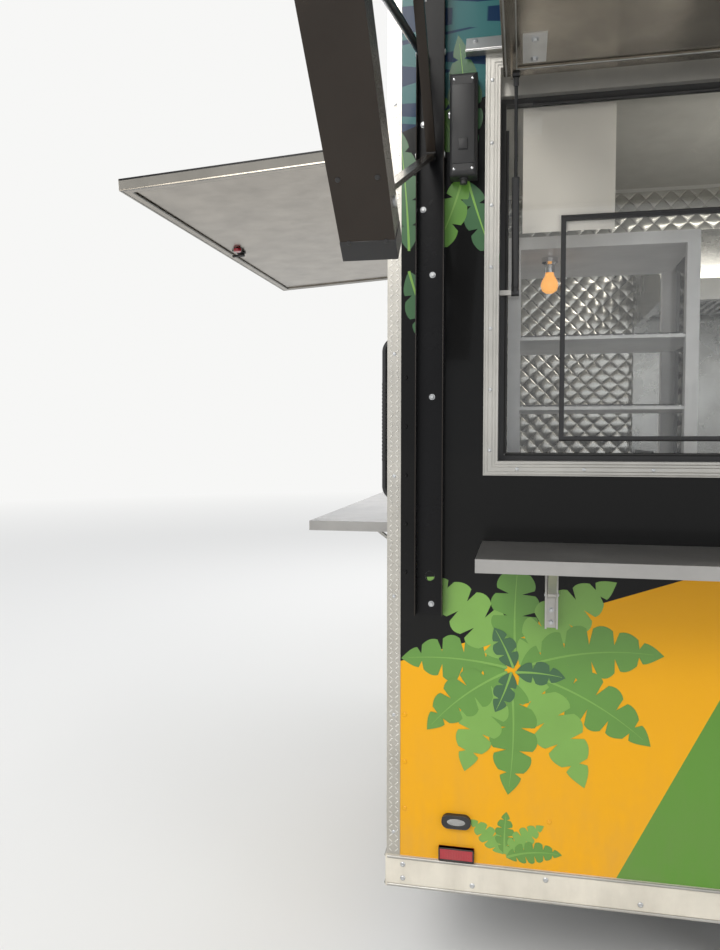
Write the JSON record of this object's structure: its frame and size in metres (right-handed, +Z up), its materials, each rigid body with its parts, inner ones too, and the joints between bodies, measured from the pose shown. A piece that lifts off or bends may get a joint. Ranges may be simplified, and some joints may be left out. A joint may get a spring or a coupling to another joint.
{
  "type": "food trailer",
  "caption": "Towed food trailer with a side and a rear service window under lift-up hatches, fold-down shelves, a wall awning, tandem axles and an A-frame tongue.",
  "frame": {"origin": "bottom centre of the whole parked trailer's box, on the ground", "axes": "+X forward towards the tongue, +Y to the street side, +Z up; the side window faces -Y"},
  "size_m": [7.1298, 4.4625, 3.21],
  "materials": {
    "black_frame_paint": "semi-gloss black chassis paint",
    "tyre_rubber": "matt black sidewall and tread",
    "wheel_paint": "white enamel on pressed steel",
    "bright_aluminium": "satin extruded aluminium",
    "tread_plate": "bright raised-bar tread plate",
    "floor_plate": "worn floor plate",
    "wrapped_wall": "gloss printed vinyl over aluminium skin in black, yellow, green and teal fields",
    "white_wall": "white painted aluminium skin",
    "stainless": "brushed stainless sheet",
    "quilted_stainless": "stainless pressed in a diamond quilt",
    "black_plastic": "black moulded plastic",
    "black_sash": "black powder-coated slider frame",
    "window_pane": "clear safety glass",
    "hatch_skin": "mill-finish sheet inside, black gloss outside",
    "bronze_awning": "dark bronze powder coat",
    "black_strut": "black gas strut",
    "steel_rod": "ground piston rod",
    "awning_cloth": "black coated awning fabric",
    "red_lens": "moulded red lens",
    "clear_lens": "clear lens in a dark bezel",
    "bottle_paint": "white enamel gas bottle",
    "galvanised": "zinc-plated steel"
  },
  "bodies": {
    "trailer": {"main_rails": "black_frame_paint", "cross_members": "black_frame_paint", "tongue_frame": "black_frame_paint", "coupler": "black_frame_paint", "tongue_jack": "galvanised", "stabilisers": "black_frame_paint", "gas_bottles": "bottle_paint", "torsion_axles": "black_frame_paint", "fender_flares": "bright_aluminium", "floor": "floor_plate", "wall_kerb": "wrapped_wall", "wall_street": "wrapped_wall", "wall_rear": "wrapped_wall", "wall_front": "wrapped_wall", "wall_lining": "quilted_stainless", "roof": "white_wall", "roof_vent": "bright_aluminium", "bottom_rails": "bright_aluminium", "roof_trim": "bright_aluminium", "corner_trims": "tread_plate", "window_sashes": "black_sash", "window_glass": "window_pane", "shelf_uprights": "bright_aluminium", "opening_frames": "bright_aluminium", "awning_channels": "bronze_awning", "awning_fabric": "awning_cloth", "control_box": "black_plastic", "grab_bar": "black_sash", "red_lamps": "red_lens", "oval_lamps": "clear_lens", "counter": "stainless", "display_cabinet": "bright_aluminium", "cooking_line": "stainless"},
    "wheel_kerb_rear": {"tyre_kerb_rear": "tyre_rubber", "wheel_kerb_rear": "wheel_paint"},
    "wheel_kerb_front": {"tyre_kerb_front": "tyre_rubber", "wheel_kerb_front": "wheel_paint"},
    "wheel_street_rear": {"tyre_street_rear": "tyre_rubber", "wheel_street_rear": "wheel_paint"},
    "wheel_street_front": {"tyre_street_front": "tyre_rubber", "wheel_street_front": "wheel_paint"},
    "entry_door": {"entry_door": "white_wall"},
    "side_hatch": {"side_hatch": "hatch_skin"},
    "side_strut_barrels": {"side_strut_barrels": "black_strut"},
    "side_strut_rods": {"side_strut_rods": "steel_rod"},
    "side_shelf": {"side_shelf": "stainless"},
    "side_shelf_braces": {"side_shelf_braces": "bright_aluminium"},
    "rear_hatch": {"rear_hatch": "hatch_skin"},
    "rear_strut_barrels": {"rear_strut_barrels": "black_strut"},
    "rear_strut_rods": {"rear_strut_rods": "steel_rod"},
    "rear_shelf": {"rear_shelf": "stainless"},
    "rear_shelf_braces": {"rear_shelf_braces": "bright_aluminium"},
    "awning_links": {"awning_links": "bronze_awning"},
    "awning_arms": {"awning_arms": "bronze_awning", "awning_roller": "bronze_awning"},
    "awning_bars": {"awning_bars": "bronze_awning"},
    "awning_upper_links": {"awning_upper_links": "bronze_awning"},
    "awning_strut_barrels": {"awning_strut_barrels": "black_strut"},
    "awning_strut_rods": {"awning_strut_rods": "steel_rod"}
  },
  "joints": [
    {"name": "wheel_kerb_rear_spin", "type": "hinge", "parent": "trailer", "child": "wheel_kerb_rear", "pos_m": [-0.92956, -0.22572, 0.3445], "axis": [0, 1, 0], "continuous": true},
    {"name": "wheel_kerb_front_spin", "type": "hinge", "parent": "trailer", "child": "wheel_kerb_front", "pos_m": [-0.04056, -0.22572, 0.3445], "axis": [0, 1, 0], "continuous": true},
    {"name": "wheel_street_rear_spin", "type": "hinge", "parent": "trailer", "child": "wheel_street_rear", "pos_m": [-0.92956, 2.03028, 0.3445], "axis": [0, 1, 0], "continuous": true},
    {"name": "wheel_street_front_spin", "type": "hinge", "parent": "trailer", "child": "wheel_street_front", "pos_m": [-0.04056, 2.03028, 0.3445], "axis": [0, 1, 0], "continuous": true},
    {"name": "entry_door_swing", "type": "hinge", "parent": "trailer", "child": "entry_door", "pos_m": [1.75294, -0.40772, 0.45], "axis": [0, 0, 1], "range_deg": [0, 165]},
    {"name": "side_hatch_hinge", "type": "hinge", "parent": "trailer", "child": "side_hatch", "pos_m": [-1.43105, -0.40272, 2.391], "axis": [1, 0, 0], "range_deg": [0, 90]},
    {"name": "side_strut_swing", "type": "hinge", "parent": "trailer", "child": "side_strut_barrels", "pos_m": [-1.43105, -0.33872, 1.857], "axis": [1, 0, 0], "range_deg": [-19.14, 0]},
    {"name": "side_strut_slide", "type": "slide", "parent": "side_strut_barrels", "child": "side_strut_rods", "axis": [0, -0.315, 0.9491], "range_m": [-0.06995, 0]},
    {"name": "side_shelf_fold", "type": "hinge", "parent": "trailer", "child": "side_shelf", "pos_m": [-1.43105, -0.39672, 1.2125], "axis": [1, 0, 0], "range_deg": [0, 90]},
    {"name": "side_brace_fold", "type": "hinge", "parent": "trailer", "child": "side_shelf_braces", "pos_m": [-1.43105, -0.40772, 1.12], "axis": [1, 0, 0], "range_deg": [0, 127.03]},
    {"name": "rear_hatch_hinge", "type": "hinge", "parent": "trailer", "child": "rear_hatch", "pos_m": [-2.62506, 0.90228, 2.391], "axis": [0, -1, 0], "range_deg": [0, 86.4]},
    {"name": "rear_strut_swing", "type": "hinge", "parent": "trailer", "child": "rear_strut_barrels", "pos_m": [-2.56106, 0.90228, 1.857], "axis": [0, -1, 0], "range_deg": [-18.84, 0]},
    {"name": "rear_strut_slide", "type": "slide", "parent": "rear_strut_barrels", "child": "rear_strut_rods", "axis": [-0.3099, 0, 0.9508], "range_m": [-0.06328, 0]},
    {"name": "rear_shelf_fold", "type": "hinge", "parent": "trailer", "child": "rear_shelf", "pos_m": [-2.61905, 0.90228, 1.2125], "axis": [0, -1, 0], "range_deg": [0, 90]},
    {"name": "rear_brace_fold", "type": "hinge", "parent": "trailer", "child": "rear_shelf_braces", "pos_m": [-2.63006, 0.90228, 1.12], "axis": [0, -1, 0], "range_deg": [0, 127.03]},
    {"name": "awning_fold", "type": "hinge", "parent": "trailer", "child": "awning_links", "pos_m": [-2.61505, -0.41872, 2.18], "axis": [1, 0, 0], "range_deg": [0, 66.8], "deforming": ["awning_fabric"]},
    {"name": "awning_arm_fold", "type": "hinge", "parent": "awning_links", "child": "awning_arms", "pos_m": [-2.61505, -1.21258, 1.83975], "axis": [1, 0, 0], "range_deg": [-113.01, 0]},
    {"name": "awning_bar_fold", "type": "hinge", "parent": "trailer", "child": "awning_bars", "pos_m": [-2.61505, -0.41872, 2.18], "axis": [1, 0, 0], "range_deg": [-46.21, 0]},
    {"name": "awning_upper_fold", "type": "hinge", "parent": "awning_bars", "child": "awning_upper_links", "pos_m": [-2.61505, -0.84095, 2.5849], "axis": [1, 0, 0], "range_deg": [0, 113.01]},
    {"name": "awning_strut_swing", "type": "hinge", "parent": "trailer", "child": "awning_strut_barrels", "pos_m": [-2.61505, -0.41872, 2.42], "axis": [1, 0, 0], "range_deg": [0, 76.1]},
    {"name": "awning_strut_slide", "type": "slide", "parent": "awning_strut_barrels", "child": "awning_strut_rods", "axis": [0, -0.9664, -0.2572], "range_m": [-0.42551, 0]}
  ],
  "couplings": [
    {"joint": "side_strut_swing", "follows": "side_hatch_hinge", "ratio": -0.21261},
    {"joint": "side_strut_slide", "follows": "side_hatch_hinge", "m_per_rad": -0.044467},
    {"joint": "side_brace_fold", "follows": "side_shelf_fold", "ratio": 1.4114},
    {"joint": "rear_strut_swing", "follows": "rear_hatch_hinge", "ratio": -0.21789},
    {"joint": "rear_strut_slide", "follows": "rear_hatch_hinge", "m_per_rad": -0.041899},
    {"joint": "rear_brace_fold", "follows": "rear_shelf_fold", "ratio": 1.4114},
    {"joint": "awning_arm_fold", "follows": "awning_fold", "ratio": -1.6916},
    {"joint": "awning_bar_fold", "follows": "awning_fold", "ratio": -0.69162},
    {"joint": "awning_upper_fold", "follows": "awning_fold", "ratio": 1.6916},
    {"joint": "awning_strut_swing", "follows": "awning_fold", "ratio": 1.139},
    {"joint": "awning_strut_slide", "follows": "awning_fold", "m_per_rad": -0.3648}
  ]
}
